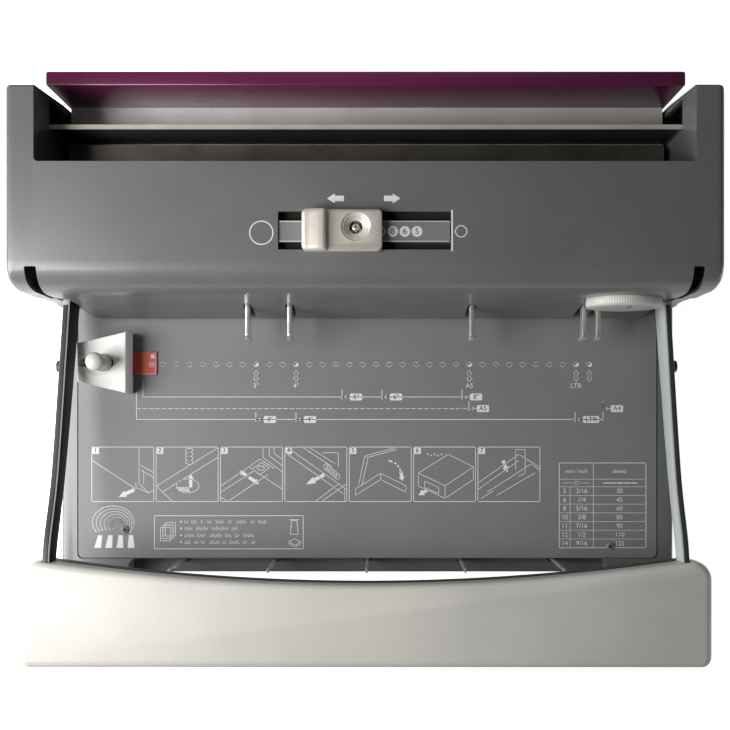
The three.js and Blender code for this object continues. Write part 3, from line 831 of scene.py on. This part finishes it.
def guide_knob():
    """The clamp knob: a waisted, finely fluted stem under a domed top."""
    low, high = mm_box("edge_guide_knob")
    dome = high.z - 3.4
    profile = [(2.3, low.z), (5.5, low.z), (5.5, low.z + 1.8), (4.9, low.z + 3.0), (4.9, high.z - 7.5),
               (5.4, high.z - 6.0), (5.5, dome)]
    profile += [(5.5 * cos(radians(a)), dome + 3.4 * sin(radians(a))) for a in (18, 36, 54, 70, 82)]
    profile += [(0.05, high.z), (0.05, high.z - 9), (2.3, high.z - 9)]
    flutes = 24
    turns = [2 * pi * k / (flutes * 4) for k in range(flutes * 4)]
    loops = []
    for place, (radius, z) in enumerate(profile):
        cut = 0.3 if place in (3, 4) else 0.0
        rim = [(radius - cut * (0.5 + 0.5 * cos(flutes * turn)), turn) for turn in turns]
        loops.append([(KNOB_X + r * cos(turn), KNOB_Y + r * sin(turn), z) for r, turn in rim])
    smooth(add_piece("guide_knob", skin(loops, closed=False), "silver_plastic", "edge_guide_knob",
                     replaces=("edge_guide_knob",)), 40)


def guide_tag():
    low, high = mm_box("edge_guide_pointer")
    tag = slot_box(low.x, high.x, low.y, high.y, low.z, high.z, 0.5)
    soften(add_piece("guide_tag", tag, "red_plastic", "edge_guide",
                     replaces=("edge_guide_pointer",)), 0.15, 3)


edge_guide()
guide_knob()
guide_tag()


# ---- size slider

KNOB_LOW, KNOB_HIGH = mm_box("size_slider_knob")
KNOB_FOOT = HEAD_TOP + 0.3
DISH_X, DISH_Y = -5.0, 77.0
PLATE_TOP = 145.4


def knob_side(inset):
    """Side outline of the slider's knob, (x, z): a flat plate with a raised finger grip at its left."""
    left, right = KNOB_LOW.x + inset, KNOB_HIGH.x - inset
    high, plate = KNOB_HIGH.z - inset * 0.5, PLATE_TOP - inset * 0.4
    points = [(left, KNOB_FOOT), (right, KNOB_FOOT), (right, plate - 1.0), (right - 0.3, plate - 0.3)]
    points += [(right - 1, plate), (-19.6, plate), (-20.6, plate + 0.3), (-21.0, plate + 1.2)]
    points += [(-21.2, high - 1.3)]
    points += arc(-22.6, high - 1.4, 1.4, 10, 90, 5)
    return points + [(-25.5, high - 0.15), (-29, high - 0.7)] + arc(left + 2.0, high - 3.0, 2.0, 80, 178, 6)


def knob_dish():
    """The stepped round recess for a fingertip, with the hole for the screw."""
    steps = [(8.0, PLATE_TOP + 1), (8.0, PLATE_TOP - 0.05), (7.4, PLATE_TOP - 0.5)]
    for ring in range(4):
        radius, z = 7.2 - 0.95 * ring, PLATE_TOP - 0.7 - 0.75 * ring
        steps += [(radius, z), (radius - 0.35, z - 0.14), (radius - 0.7, z - 0.12)]
    steps += [(3.6, PLATE_TOP - 3.9), (3.5, KNOB_FOOT - 6)]
    return skin([[(x, y, z) for x, y in oval(DISH_X, DISH_Y, r, r, 64)] for r, z in steps])


def slider_knob():
    middle = (KNOB_HIGH.y + KNOB_LOW.y) / 2
    rows = rounded_steps((KNOB_HIGH.y - KNOB_LOW.y) / 2, 0.0, 2.8)
    rows = [(-v, inset) for v, inset in reversed(rows)] + rows
    body = skin([[(x, middle + v, z) for x, z in knob_side(inset)] for v, inset in rows])
    knob = add_piece("slider_knob", body, "champagne_metal", "size_slider", replaces=("size_slider_knob",))
    smooth(carve(knob, knob_dish()), 32)

    def legs(work):
        for y in (66.1, 82):
            box_of(-30, 5, y, y + 2.8, 134.6, KNOB_FOOT + 0.2)(work)
    soften(add_piece("slider_legs", legs, "champagne_metal", "size_slider"), 0.3, 2)


def size_rail():
    rail = add_piece("rail_plate", box_of(-55, 55, 60, 92, 131, 137.2), "body_grey", replaces=("size_rail",))
    carve(rail, box_of(-50, 50, 64.2, 69.6, 134, 145), box_of(-50, 50, 81.1, 87.2, 134, 145))
    soften(rail, 0.2, 2)
    soften(add_piece("rail_strip", box_of(-46.9, 46.3, 69.7, 81, 137, 139.0), "table_grey"), 0.25, 2)
    # Painted shade: near-black strips at the bottom of the rail's two grooves stand in for the darkness
    # inside them.
    for name, y0, y1 in (("front", 64.4, 69.5), ("rear", 81.2, 87.0)):
        groove_shade = box_of(-49.8, 49.8, y0, y1, 133.9, 134.3)
        soften(add_piece(f"rail_groove_shade_{name}", groove_shade, "dark_plastic", material=GAP_SHADE_PAINT), 0.1, 2)
    for name, y in (("front", 69.95), ("rear", 80.75)):
        ridge = slot_box(-46.6, 46.0, y - 0.3, y + 0.3, 138.8, 139.4, 0.2)
        ridge = add_piece(f"rail_ridge_{name}", ridge, "table_grey", material=MATERIALS["silver_plastic"])
        soften(ridge, 0.15, 2)


slider_knob()
size_rail()
screw_head("slider_screw", DISH_X, DISH_Y, KNOB_FOOT, 2.2, 2.1, "dark_steel", "size_slider", EDGE_STEEL,
           "size_slider_screw")


# ---- wire closer

JAW_FRONT = 138.1


def jaw_facing():
    """Painted shade: a thin near-black sheet on the front of the moving jaw, below its bright top edge,
    stands in for the shadow in the gap there.
    """
    top = mm_box("closer_moving_jaw")[1].z - 0.7
    shade_sheet = box_of(-178.5, 178.5, JAW_FRONT - 0.25, JAW_FRONT + 0.1, 76, top)
    soften(add_piece("jaw_facing", shade_sheet, "dark_steel", "closer_jaw", JAW_SHADE_PAINT), 0.1, 2)


jaw_facing()


# ---- printed marks

INK_HEIGHT = 0.06


class Print:
    """Flat printed marks collected in one mesh, at a given height."""

    def __init__(self, z):
        self.z = z
        self.origin = (0.0, 0.0)
        self.work = bmesh.new()

    def fill(self, points):
        if sum(x0 * y1 - x1 * y0 for (x0, y0), (x1, y1) in zip(points, points[1:] + points[:1])) < 0:
            points = list(reversed(points))
        ox, oy = self.origin
        low = [self.work.verts.new((x + ox, y + oy, self.z)) for x, y in points]
        high = [self.work.verts.new((x + ox, y + oy, self.z + INK_HEIGHT)) for x, y in points]
        self.work.faces.new(high)
        self.work.faces.new(list(reversed(low)))
        for i in range(len(points)):
            j = (i + 1) % len(points)
            self.work.faces.new((low[i], low[j], high[j], high[i]))

    def line(self, points, width=0.5, closed=False):
        pairs = list(zip(points, points[1:]))
        if closed:
            pairs.append((points[-1], points[0]))
        for (x0, y0), (x1, y1) in pairs:
            length = hypot(x1 - x0, y1 - y0) or 1.0
            ux, uy = (x1 - x0) / length * width / 2, (y1 - y0) / length * width / 2
            self.fill([(x0 - ux + uy, y0 - uy - ux), (x1 + ux + uy, y1 + uy - ux),
                       (x1 + ux - uy, y1 + uy + ux), (x0 - ux - uy, y0 - uy + ux)])

    def ring(self, cx, cy, rx, ry, width, steps=48):
        outer, inner = oval(cx, cy, rx, ry, steps), oval(cx, cy, rx - width, ry - width, steps)
        for i in range(steps):
            j = (i + 1) % steps
            self.fill([outer[i], outer[j], inner[j], inner[i]])

    def disc(self, cx, cy, radius, steps=32):
        self.fill(oval(cx, cy, radius, radius, steps))

    def frame(self, x0, x1, y0, y1, width=0.4):
        self.line([(x0, y0), (x1, y0), (x1, y1), (x0, y1)], width, closed=True)

    def arrow(self, x, y, direction, length=2.0, half=0.8):
        """A small solid arrowhead with its tip at (x, y); direction is (dx, dy)."""
        dx, dy = direction
        self.fill([(x, y), (x - dx * length - dy * half, y - dy * length + dx * half),
                   (x - dx * length + dy * half, y - dy * length - dx * half)])

    def block_arrow(self, x, y, angle, length, width):
        """A solid block arrow from (x, y) pointing along angle, in degrees."""
        turn = radians(angle)
        c, s = cos(turn), sin(turn)
        head = min(length * 0.45, width * 1.4)
        shape = [(0, -width / 4), (length - head, -width / 4), (length - head, -width / 2), (length, 0),
                 (length - head, width / 2), (length - head, width / 4), (0, width / 4)]
        self.fill([(x + u * c - v * s, y + u * s + v * c) for u, v in shape])

    def text(self, words, x, y, height):
        curve = bpy.data.curves.new("words", "FONT")
        curve.body = words
        curve.align_x = curve.align_y = "CENTER"
        curve.size = height * 1.42
        holder = bpy.data.objects.new("words", curve)
        scene.collection.objects.link(holder)
        bpy.context.view_layer.update()
        flat = bpy.data.meshes.new_from_object(holder.evaluated_get(bpy.context.evaluated_depsgraph_get()))
        flat.transform(Matrix.Translation((x, y, self.z + INK_HEIGHT)))
        self.work.from_mesh(flat)
        bpy.data.objects.remove(holder)
        bpy.data.meshes.remove(flat)
        bpy.data.curves.remove(curve)

    def place(self, name, slot, material, body="machine"):
        bmesh.ops.scale(self.work, vec=(MM, MM, MM), verts=self.work.verts)
        mesh = bpy.data.meshes.new("print")
        self.work.to_mesh(mesh)
        self.work.free()
        add_piece(name, mesh, slot, body, material)


def hole_row(ink):
    """The row of small windows, one under each punch, with the marked positions half filled."""
    for i in range(1, HOLES):
        x, y = hole_x(i) + 1.2, 7.4
        ink.line(rounded_rect(x - 1.6, x + 1.6, y - 1.3, y + 1.3, 0.6, 2), 0.32, closed=True)
        if i in PIN_HOLES:
            ink.fill([(x - 1.4, y - 1.2), (x + 1.4, y - 1.2), (x + 1.4, y + 1.2), (x + 0.2, y + 0.2)])
            double_arrow(ink, x, 0.1, 7.2)
    for i, words in ((8, '3"'), (11, '4"'), (24, "A5"), (32, "LTR")):
        ink.text(words, hole_x(i) + 1.2, -6.2, 3.0)


def double_arrow(ink, x, y, length):
    half, neck = length / 2, length / 2 - 2.2
    right = [(0, half), (1.7, neck), (0.8, neck), (0.8, -neck), (1.7, -neck), (0, -half)]
    left = [(-u, v) for u, v in reversed(right[1:-1])]
    ink.line([(x + u, y + v) for u, v in right + left], 0.3, closed=True)


def size_tag(ink, gaps, x, y, words):
    """An upright tick, a small arrow towards it and a white tag with dark figures."""
    width = 2.6 + 2.6 * len(words)
    ink.line([(x, y - 1.4), (x, y + 4.4)], 0.45)
    ink.line([(x, y), (x + 4.4, y)], 0.4)
    ink.arrow(x + 0.7, y, (-1, 0), 2.2, 1.0)
    ink.fill(rounded_rect(x + 5.0, x + 5.0 + width, y - 2.2, y + 2.2, 1.0, 3))
    gaps.text(words, x + 5.0 + width / 2, y, 3.0)


def length_lines(ink, gaps):
    """The three dimension lines with the sheet lengths along them."""
    ink.line([(-142.6, -3.5), (-142.6, -13.2), (60, -13.2)], 0.42)
    ink.line([(-146.7, -10.0), (-146.7, -27.5), (149.5, -27.5)], 0.42)
    ink.line([(149.5, -28.5), (149.5, -17.2)], 0.42)
    for k in range(52):
        x = -146.7 + 4.06 * k
        ink.line([(x, -20.6), (min(64.4, x + 2.7), -20.6)], 0.36)
    for x, words in ((-16.2, '5"'), (9.2, '6"'), (60.0, '8"')):
        size_tag(ink, gaps, x, -13.2, words)
    size_tag(ink, gaps, 64.4, -20.6, "A5")
    for x, words in ((-70.9, '3"'), (-45.4, '4"'), (131.8, "LTR")):
        size_tag(ink, gaps, x, -27.5, words)
    size_tag(ink, gaps, 149.5, -20.6, "A4")


def size_chart(ink):
    """The wire-size chart: loop size in millimetres and inches, and the sheets it takes."""
    x0, x1, x2, x3 = 121.8, 128.6, 143.4, 176.8
    top, bottom = -55.1, -108.9
    ink.frame(x0, x3, bottom, top, 0.4)
    ink.line([(x2, top), (x2, bottom)], 0.3)
    ink.line([(x1, -70.2), (x1, bottom)], 0.3)
    rows = [(5, "3/16", 30), (6, "1/4", 45), (8, "5/16", 60), (10, "3/8", 85), (11, "7/16", 95),
            (12, "1/2", 110), (14, "9/16", 125)]
    ink.line([(x0, -65.4), (x3, -65.4)], 0.25)
    ink.text("mm / inch", (x0 + x2) / 2, -60.4, 2.5)
    ink.text("sheets", (x2 + x3) / 2, -60.4, 2.5)
    sign = -67.8
    ink.ring(132.6, sign, 1.3, 1.3, 0.3, 20)
    ink.line([(124, sign), (130.6, sign)], 0.25)
    ink.line([(134.6, sign), (141, sign)], 0.25)
    for k in range(5):
        ink.line([(150 + 4.4 * k, sign), (153.2 + 4.4 * k, sign)], 0.7)
    for k, (size, inches, sheets) in enumerate(rows):
        y = -70.2 - 5.53 * k
        ink.line([(x0, y), (x3, y)], 0.25)
        ink.text(str(size), (x0 + x1) / 2, y - 2.8, 2.9)
        ink.text(inches, (x1 + x2) / 2, y - 2.8, 2.9)
        ink.text(str(sheets), (x2 + x3) / 2, y - 2.8, 2.9)


def picture_boxes(ink, gaps):
    """Seven picture boxes in a row, each with a corner number and a plain line drawing of one step."""
    drawings = [draw_align, draw_loop, draw_slider, draw_insert, draw_lift, draw_drawer, draw_close]
    for k, drawing in enumerate(drawings):
        x0 = -175.1 + 40.87 * k
        ink.frame(x0, x0 + 39.35, -79.6, -45.0, 0.4)
        ink.fill([(x0, -45.0), (x0 + 4.6, -45.0), (x0 + 4.6, -49.4), (x0, -49.4)])
        gaps.text(str(k + 1), x0 + 2.3, -47.2, 2.9)
        ink.origin = (x0, -79.6)
        drawing(ink)
        ink.origin = (0.0, 0.0)


def sketch(ink, *paths):
    for path in paths:
        ink.line(path, 0.34)


def draw_align(ink):
    sketch(ink, [(0.4, 26), (28, 8)], [(30, 34), (30, 11), (36, 6)], [(31, 23), (39, 18.5)],
           [(31, 20), (39, 15.5)], [(28, 12), (28, 9), (36, 5.5), (39, 7)], [(33, 20), (33, 11)])
    ink.block_arrow(27, 7.5, 205, 11, 4.4)


def draw_loop(ink):
    sketch(ink, [(0.4, 10), (38.9, 34)], [(4, 6), (39, 28)], [(0.4, 10), (4, 6), (10, 0.6)])
    for k in range(4):
        ink.ring(21, 25 + 2.5 * k, 2.6, 1.5, 0.34, 14)
    ink.ring(20, 10, 7.4, 4.6, 0.34, 24)
    for k in range(5):
        ink.line([(14 + 1.5 * k, 9), (17 + 1.1 * k, 5.6)], 0.7)
    ink.block_arrow(22, 9, 90, 9, 4)


def draw_slider(ink):
    sketch(ink, [(0.4, 10), (18, 22), (39, 8)], [(0.4, 6), (22, 20)], [(18, 22), (25, 27), (34, 21)],
           [(20, 20.5), (26, 24.8), (31, 21.4), (25, 17), (20, 20.5)], [(27, 34), (27, 28), (39, 19)],
           [(31, 34), (31, 29), (39, 23)], [(34, 34), (34, 30.5), (39, 27)], [(6, 1), (30, 17)],
           [(0.4, 2.5), (4, 0.6)])
    ink.ring(25.6, 21.2, 2.4, 1.6, 0.4, 18)
    ink.block_arrow(18, 15.5, -35, 8, 4)
    ink.block_arrow(17, 16.2, 145, 6, 4)


def draw_insert(ink):
    sketch(ink, [(2, 34), (38.9, 8)], [(0.4, 31), (37, 5)], [(12, 34), (30, 22)], [(16, 34), (32, 24)],
           [(24, 31), (34, 31), (34, 22)], [(20, 0.6), (34, 11)], [(24, 0.6), (38.9, 11)],
           [(38, 0.6), (38, 8)])
    for k in range(6):
        ink.ring(26 + 1.5 * k, 22 - 1.2 * k, 1.5, 2.2, 0.32, 12)
    ink.block_arrow(25, 17, 208, 13, 4.4)


def draw_lift(ink):
    sketch(ink, [(4, 4), (20, 14), (36, 6)], [(4, 4), (4, 8), (20, 18), (36, 10), (36, 6)],
           [(20, 14), (20, 18)],
           [(8, 10), (12, 28), (30, 33)], [(6, 10.5), (10, 29), (29, 34)], [(12, 28), (10, 29)])
    ink.line([(24 + 9 * cos(t), 17 + 9 * sin(t)) for t in (0.2, 0.5, 0.8, 1.1, 1.4)], 0.9)
    ink.block_arrow(32.8, 19, -80, 6, 4)


def draw_drawer(ink):
    sketch(ink, [(3, 18), (22, 30), (38, 22), (20, 10), (3, 18)], [(3, 18), (3, 10), (20, 2), (20, 10)],
           [(20, 2), (38, 14), (38, 22)], [(7, 13), (16, 9), (16, 5), (7, 9), (7, 13)])
    for k in range(5):
        ink.disc(9 + 2.2 * k, 30 - 0.8 * (k % 2), 0.5, 10)
    ink.block_arrow(10, 8, 210, 8, 4)


def draw_close(ink):
    sketch(ink, [(0.4, 12), (26, 30), (38.9, 22)], [(0.4, 8), (26, 26)], [(6, 6), (34, 24), (38.9, 20)],
           [(12, 4), (36, 18)], [(24, 33), (30, 33), (30, 18), (26, 16)], [(24, 33), (24, 20)],
           [(2, 2), (10, 7)])
    ink.block_arrow(16, 26, -70, 8, 4)


def note_box(ink):
    """A framed note: a plain mark at each end and lines of print too small to be words here."""
    ink.frame(-135.3, -40.8, -109.6, -88.6, 0.42)
    for k in range(3):
        x, y = -131.5 + 1.5 * k, -104.5 + 1.5 * k
        ink.frame(x, x + 6.5, y, y + 8.5, 0.42)
    rows = [(-92.4, [3, 5, 2.6, 4, 6.4, 4, 8, 3.4, 5.6]), (-96.6, [6, 9, 11, 5]),
            (-101.0, [7, 6.4, 8.6, 5, 4, 7]), (-105.4, [5, 3, 4, 7, 3, 7.4, 4, 3.6])]
    for y, words in rows:
        x = -116.4
        ink.disc(-118.4, y, 0.6, 10)
        for length in words:
            letters(ink, x, y, length)
            x += length + 1.3
    ink.line([(-49, -100.4), (-44, -100.4), (-44.8, -91.6), (-48.2, -91.6), (-49, -100.4)], 0.4)
    ink.line([(-49.4, -91.2), (-43.6, -91.2)], 0.5)
    ink.line([(-50, -105), (-46.5, -103.2), (-42.4, -105.2), (-46, -107.4), (-50, -105)], 0.4)
    ink.line([(-50, -106.2), (-46, -108.6), (-42.4, -106.4)], 0.4)


def letters(ink, x, y, length):
    """A run of short upright strokes, like a word too small to make out."""
    foot = y - 0.95
    for k in range(max(1, int(length / 1.35))):
        place = x + 0.5 + 1.3 * k
        tall = 0.95 if (k * 7 + int(x)) % 3 else 1.35
        bar = foot + (0.95 if k % 2 else 0.0)
        ink.line([(place, foot), (place, foot + 1.9 * tall * 0.8)], 0.34)
        ink.line([(place, bar), (place + 0.8, bar)], 0.3)


def wire_figure(ink):
    """Nested loops over stripes: the wire seen from its end."""
    for k in range(6):
        rx, ry = 13.2 - 1.9 * k, 10.4 - 1.35 * k
        cx, cy = -161.5 + 0.55 * k, -92.8 - 0.4 * k
        ink.line([(cx + rx * cos(radians(t)), cy + ry * sin(radians(t))) for t in range(-35, 216, 10)], 0.55)
    for k in range(4):
        x = -173.6 + 7.1 * k
        ink.fill([(x, -109.0), (x + 4.4, -109.0), (x + 5.2 - 0.6 * k, -101.0), (x + 2.6 - 0.6 * k, -101.0)])


table_ink, tag_ink = Print(TABLE_Z), Print(TABLE_Z + INK_HEIGHT)
hole_row(table_ink)
length_lines(table_ink, tag_ink)
size_chart(table_ink)
picture_boxes(table_ink, tag_ink)
note_box(table_ink)
wire_figure(table_ink)
table_ink.place("table_print", "table_grey", WHITE_INK)
tag_ink.place("tag_figures", "table_grey", DARK_INK)

top_print_and_highlight = Print(HEAD_TOP)
top_print_and_highlight.ring(-56.2, 74.4, 6.6, 6.6, 0.6, 64)
top_print_and_highlight.ring(52.1, 75.2, 3.3, 3.3, 0.5, 40)
for tip, neck, tail in ((-20.6, -16.4, -11.4), (19.2, 15.0, 10.3)):
    top_print_and_highlight.fill([(tip, 93), (neck, 95.7), (neck, 94.5), (tail, 94.5), (tail, 91.5), (neck, 91.5),
                   (neck, 90.3)])
# Painted highlight: a white line along the right end of the slider's slot stands in for the lit edge there.
top_print_and_highlight.line([(SLOT_X[1] + 0.6, SLOT_Y[0] - 0.4), (SLOT_X[1] + 0.6, SLOT_Y[1] + 0.4)], 0.9)
top_print_and_highlight.place("head_print_with_highlight", "body_grey", WHITE_INK)

strip_ink, disc_figures = Print(139.0), Print(139.0 + INK_HEIGHT)
for place, words in enumerate(("5", "6", "8", "10", "11", "12", "14")):
    x = 28.2 - 6.6 * place
    strip_ink.disc(x, 75.3, 2.9)
    disc_figures.text(words, x, 75.3, 3.4 if len(words) == 1 else 2.6)
strip_ink.place("strip_discs", "body_grey", WHITE_INK)
disc_figures.place("strip_figures", "body_grey", DARK_INK)

tag_marks = Print(mm_box("edge_guide_pointer")[1].z)
tag_marks.fill([(-137.3, 11.2), (-134.9, 11.2), (-134.9, 13.8), (-137.3, 13.8)])
tag_marks.frame(-138.4, -135.0, 6.0, 8.6, 0.5)
tag_marks.line([(-138.2, 7.3), (-135.2, 7.3)], 0.5)
tag_marks.line([(-145.8, 1.4), (-134.0, 1.4)], 0.3)
tag_marks.line([(-134.1, 1.6), (-134.1, 15.0)], 0.3)
tag_marks.place("tag_marks", "red_plastic", WHITE_INK, "edge_guide")


# ---- studio

def area_light(name, place, aim, size, power, colour):
    data = bpy.data.lights.new(name, "AREA")
    data.shape = "RECTANGLE"
    data.size, data.size_y = size
    data.energy = power
    data.color = colour
    lamp = bpy.data.objects.new(name, data)
    lamp.location = place
    lamp.rotation_euler = (Vector(aim) - Vector(place)).to_track_quat("-Z", "Y").to_euler()
    lamp.visible_camera = False
    scene.collection.objects.link(lamp)


def floor_material():
    """White paper: blank like the backdrop to the camera, and only a dim light to everything else."""
    material, tree, shader = node_material("floor_paper")
    where = object_coordinates(tree)
    tint = ramp(tree, noise(tree, where, 300.0, 2.0), [(0.3, (0.97, 0.97, 0.97)), (0.7, (1.0, 1.0, 1.0))])
    seen = add_node(tree, "LightPath", {})["Is Camera Ray"]
    reach = add_node(tree, "VectorMath", {0: where}, operation="LENGTH")["Value"]
    connect(tree, shader, {
        "Base Color": mixed(tree, seen, (0.6, 0.6, 0.6, 1), tint),
        "Emission Color": tint,
        "Emission Strength": mixed(tree, seen, 0.5, level(tree, reach, 0.92, 1.06, 0.45, 0.9), "FLOAT"),
        "Roughness": 0.9,
    })
    return material


def backdrop():
    """Bright behind the machine, but giving it only a little light."""
    world = bpy.data.worlds.new("world")
    world.use_nodes = True
    tree = world.node_tree
    surround = tree.nodes["Background"]
    connect(tree, surround, {"Color": (0.95, 0.98, 1.0, 1), "Strength": 0.05})
    blank = add_node(tree, "Background", {"Color": (1, 1, 1, 1), "Strength": 1.0})["Background"]
    seen = add_node(tree, "LightPath", {})["Is Camera Ray"]
    mix = add_node(tree, "MixShader", {"Fac": seen, 1: surround.outputs["Background"], 2: blank})
    connect(tree, tree.nodes["World Output"], {"Surface": mix["Shader"]})
    scene.world = world


def studio():
    ground = bpy.data.objects.new("floor", mesh_from(box_of(-2600, 2600, -2600, 2600, -12, -0.4)))
    scene.collection.objects.link(ground)
    ground.data.materials.append(floor_material())
    area_light("window_left", (-0.52, -0.08, 0.47), (-0.08, 0.0, 0.08), (0.36, 0.6), 8.2, (1.0, 0.99, 0.97))
    area_light("low_right", (1.3, -0.5, 0.06), (0, 0, 0.06), (0.9, 0.1), 3.2, (0.95, 0.97, 1.0))
    area_light("sky_rear", (0.1, 1.2, 1.3), (0, 0, 0), (1.4, 0.9), 1.6, (0.94, 0.97, 1.0))
    backdrop()


studio()

slots = {row["node"]: row["material_slot"] for row in frame["record"]["subparts"]}
for name, node in frame["nodes"].items():
    node.data.materials.clear()
    node.data.materials.append(FINISHES.get(name) or MATERIALS[slots[name]])
    soften(node, 0.3, 2, 40)
